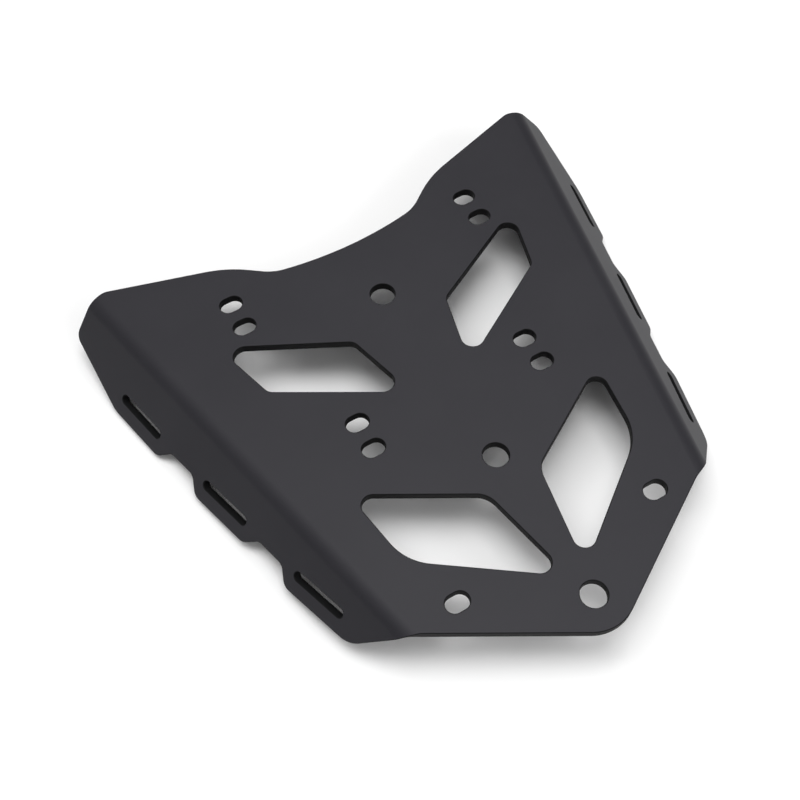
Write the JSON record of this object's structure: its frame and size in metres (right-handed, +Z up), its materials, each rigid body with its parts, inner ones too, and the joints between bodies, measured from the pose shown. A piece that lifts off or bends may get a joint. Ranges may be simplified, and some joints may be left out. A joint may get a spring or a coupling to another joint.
{
  "type": "motorcycle luggage rack",
  "caption": "Folded sheet luggage rack: a windowed deck with slotted bolt holes, hollowed at the front and pointed at the tail, between side flanges with strap slots.",
  "frame": {"origin": "on the middle plane, halfway between the front corners and the tail tip, level with the lowest edge of the foremost tabs", "axes": "+Z up, square to the deck; +Y forwards along the machine, from the tail tip to the hollowed front edge; +X to the right of a rider facing forwards, across the deck"},
  "size_m": [0.295, 0.2827, 0.0329],
  "materials": {
    "powder_coat": "fine-textured matt black powder coat on aluminium sheet"
  },
  "bodies": {
    "root": {"rack_plate": "powder_coat"}
  },
  "joints": []
}
